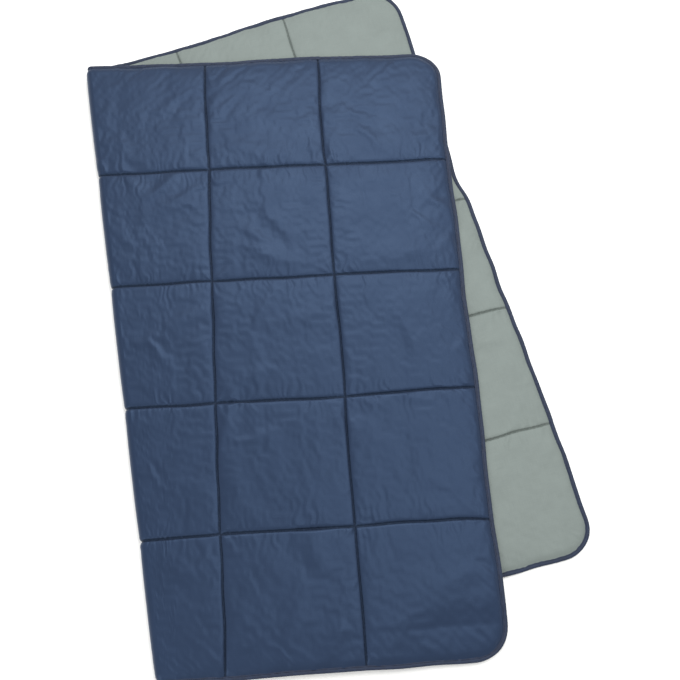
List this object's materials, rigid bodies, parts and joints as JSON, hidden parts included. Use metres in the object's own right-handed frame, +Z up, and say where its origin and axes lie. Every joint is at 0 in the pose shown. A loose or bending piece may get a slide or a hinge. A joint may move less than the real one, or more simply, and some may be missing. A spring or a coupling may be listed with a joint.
{
  "type": "camp blanket",
  "caption": "Quilted two-tone camp blanket with bound edges and round corners, folded once so that its free layer opens over on the crease.",
  "frame": {"origin": "centre of the folded blanket's footprint, on the ground", "axes": "+Y along the crease towards the head end, +X from the crease towards the free edges, +Z up, through the layers"},
  "size_m": [0.9828, 1.7282, 0.032],
  "materials": {
    "navy_face_cloth": "satin",
    "sage_lining_cloth": "satin",
    "polyester_batting": "matte",
    "navy_binding_tape": "matte",
    "navy_sewing_thread": "matte",
    "sage_sewing_thread": "matte"
  },
  "bodies": {
    "lower_half": {"batting_lower": "polyester_batting", "edge_binding_lower": "navy_binding_tape", "lining_lower": "sage_lining_cloth", "lower_binding_bobbin_thread": "navy_sewing_thread", "lower_binding_needle_thread": "navy_sewing_thread", "lower_column_3_bobbin_thread": "sage_sewing_thread", "lower_column_3_needle_thread": "navy_sewing_thread", "lower_column_4_bobbin_thread": "sage_sewing_thread", "lower_column_4_needle_thread": "navy_sewing_thread", "lower_column_5_bobbin_thread": "sage_sewing_thread", "lower_column_5_needle_thread": "navy_sewing_thread", "lower_row_1_bobbin_thread": "sage_sewing_thread", "lower_row_1_needle_thread": "navy_sewing_thread", "lower_row_2_bobbin_thread": "sage_sewing_thread", "lower_row_2_needle_thread": "navy_sewing_thread", "lower_row_3_bobbin_thread": "sage_sewing_thread", "lower_row_3_needle_thread": "navy_sewing_thread", "lower_row_4_bobbin_thread": "sage_sewing_thread", "lower_row_4_needle_thread": "navy_sewing_thread", "outer_shell_lower": "navy_face_cloth", "batting_fold": "polyester_batting", "edge_binding_fold_foot": "navy_binding_tape", "edge_binding_fold_head": "navy_binding_tape", "fold_row_1_bobbin_thread": "sage_sewing_thread", "fold_row_1_needle_thread": "navy_sewing_thread", "fold_row_2_bobbin_thread": "sage_sewing_thread", "fold_row_2_needle_thread": "navy_sewing_thread", "fold_row_3_bobbin_thread": "sage_sewing_thread", "fold_row_3_needle_thread": "navy_sewing_thread", "fold_row_4_bobbin_thread": "sage_sewing_thread", "fold_row_4_needle_thread": "navy_sewing_thread", "lining_fold": "sage_lining_cloth", "outer_shell_fold": "navy_face_cloth"},
    "upper_half": {"batting_upper": "polyester_batting", "edge_binding_upper": "navy_binding_tape", "lining_upper": "sage_lining_cloth", "outer_shell_upper": "navy_face_cloth", "upper_binding_bobbin_thread": "navy_sewing_thread", "upper_binding_needle_thread": "navy_sewing_thread", "upper_column_1_bobbin_thread": "sage_sewing_thread", "upper_column_1_needle_thread": "navy_sewing_thread", "upper_column_2_bobbin_thread": "sage_sewing_thread", "upper_column_2_needle_thread": "navy_sewing_thread", "upper_row_1_bobbin_thread": "sage_sewing_thread", "upper_row_1_needle_thread": "navy_sewing_thread", "upper_row_2_bobbin_thread": "sage_sewing_thread", "upper_row_2_needle_thread": "navy_sewing_thread", "upper_row_3_bobbin_thread": "sage_sewing_thread", "upper_row_3_needle_thread": "navy_sewing_thread", "upper_row_4_bobbin_thread": "sage_sewing_thread", "upper_row_4_needle_thread": "navy_sewing_thread"}
  },
  "joints": [
    {"name": "fold", "type": "hinge", "parent": "lower_half", "child": "upper_half", "pos_m": [-0.47525, 0, 0.016], "axis": [0, -1, 0], "range_deg": [0, 180], "deforming": ["batting_fold", "edge_binding_fold_foot", "edge_binding_fold_head", "fold_row_1_bobbin_thread", "fold_row_1_needle_thread", "fold_row_2_bobbin_thread", "fold_row_2_needle_thread", "fold_row_3_bobbin_thread", "fold_row_3_needle_thread", "fold_row_4_bobbin_thread", "fold_row_4_needle_thread", "lining_fold", "outer_shell_fold"]}
  ]
}
